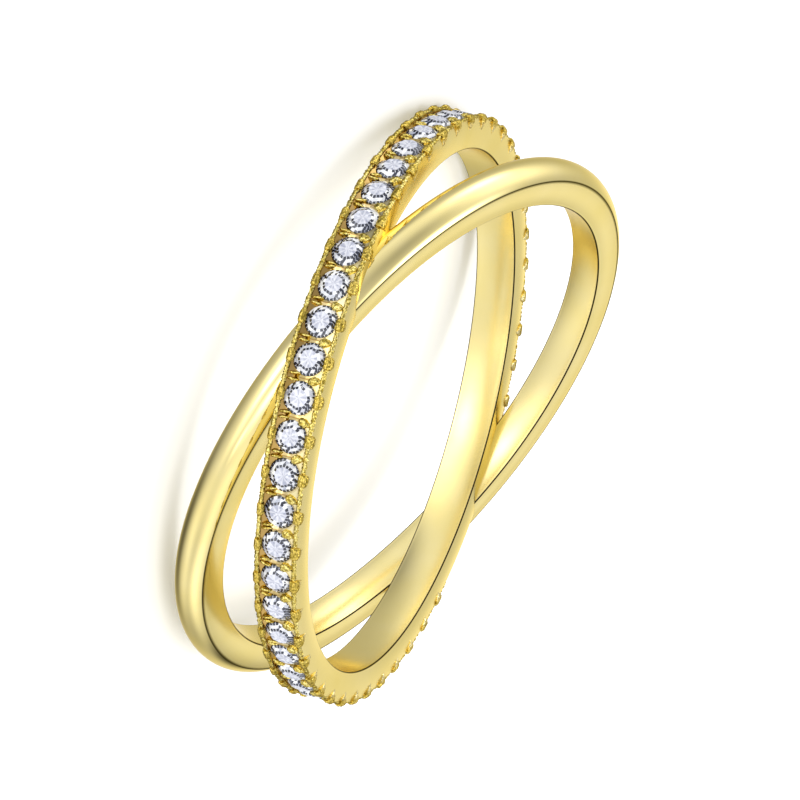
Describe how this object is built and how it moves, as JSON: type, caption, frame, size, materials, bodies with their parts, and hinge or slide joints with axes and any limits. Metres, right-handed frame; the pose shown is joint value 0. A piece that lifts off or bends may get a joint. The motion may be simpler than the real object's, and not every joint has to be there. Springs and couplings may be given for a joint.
{
  "type": "crossover stacking ring",
  "caption": "Finger ring of two thin bands that cross at front and back, one plain and domed, the other set all round with small brilliants.",
  "frame": {"origin": "middle of the finger hole, on the line through both crossings", "axes": "+Z along the finger; +X from the front crossing, where the stone-set band is outermost, to the back crossing; +Y across"},
  "size_m": [0.0204, 0.0196, 0.0056],
  "materials": {
    "gold": "polished yellow gold plating",
    "stone": "clear colourless brilliants"
  },
  "bodies": {
    "root": {"crossed_bands": "gold", "stone_01": "stone", "stone_02": "stone", "stone_03": "stone", "stone_04": "stone", "stone_05": "stone", "stone_06": "stone", "stone_07": "stone", "stone_08": "stone", "stone_09": "stone", "stone_10": "stone", "stone_11": "stone", "stone_12": "stone", "stone_13": "stone", "stone_14": "stone", "stone_15": "stone", "stone_16": "stone", "stone_17": "stone", "stone_18": "stone", "stone_19": "stone", "stone_20": "stone", "stone_21": "stone", "stone_22": "stone", "stone_23": "stone", "stone_24": "stone", "stone_25": "stone", "stone_26": "stone", "stone_27": "stone", "stone_28": "stone", "stone_29": "stone", "stone_30": "stone", "stone_31": "stone", "stone_32": "stone", "stone_33": "stone", "stone_34": "stone", "stone_35": "stone", "stone_36": "stone", "stone_37": "stone", "stone_38": "stone", "stone_39": "stone", "stone_40": "stone", "stone_41": "stone", "stone_42": "stone", "stone_43": "stone", "stone_44": "stone"}
  },
  "joints": []
}
